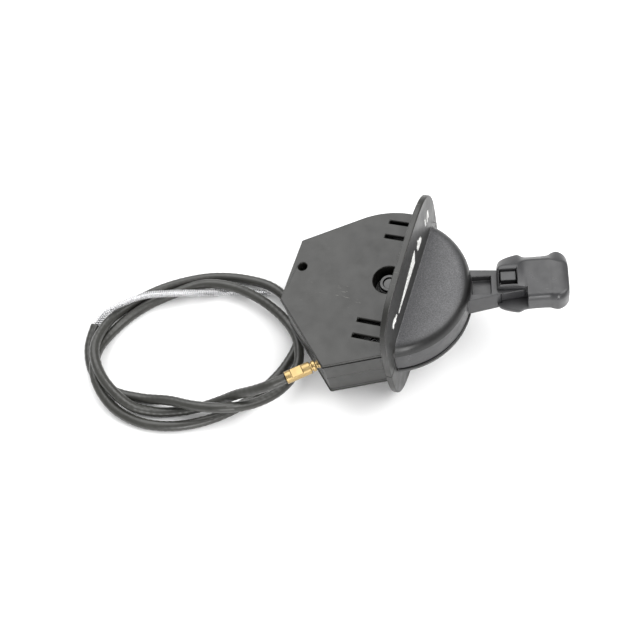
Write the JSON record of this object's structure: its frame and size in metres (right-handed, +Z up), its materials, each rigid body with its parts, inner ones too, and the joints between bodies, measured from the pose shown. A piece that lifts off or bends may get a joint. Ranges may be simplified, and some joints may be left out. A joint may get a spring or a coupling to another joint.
{
  "type": "lever throttle control",
  "caption": "Panel-mounted lever throttle control: a black plastic casing with an oval bezel, a swinging lever with a grip knob, a brass ferrule and a coiled cable with a wound steel liner.",
  "frame": {"origin": "bottom centre of the control's box, measured without the cable, on the table it lies on", "axes": "+X along the lever's side, out through the bezel; +Y along the bezel, towards the fast end; +Z up from the table"},
  "size_m": [0.2265, 0.1336, 0.0764],
  "materials": {
    "shell_plastic": "satin",
    "lever_plastic": "satin",
    "zinc_steel": "satin",
    "brass": "satin",
    "fibre": "matte",
    "legend_white": "matte",
    "cable_jacket": "satin",
    "black_steel": "satin"
  },
  "bodies": {
    "housing": {"upper_shell": "shell_plastic", "lower_shell": "shell_plastic", "shell_screws": "zinc_steel", "pivot_bolt": "black_steel", "lock_nut": "black_steel", "pivot_bush": "brass", "friction_washer_near": "fibre", "friction_washer_far": "fibre", "flat_washer": "zinc_steel", "wave_washer": "zinc_steel", "legend_marks": "legend_white", "housing_wire": "zinc_steel", "cable_ferrule": "brass", "cable_jacket": "cable_jacket", "spring_liner": "zinc_steel", "wire_tail": "zinc_steel"},
    "lever": {"lever_rotor": "lever_plastic", "lever_knob": "lever_plastic", "knob_screw": "zinc_steel", "cable_nipple": "brass", "drum_wire": "zinc_steel"}
  },
  "joints": [
    {"name": "lever_hinge", "type": "hinge", "parent": "housing", "child": "lever", "pos_m": [-0.0155, 0.0045, 0.03218], "axis": [-0.1736, 0, 0.9848], "range_deg": [-62, 34]}
  ]
}
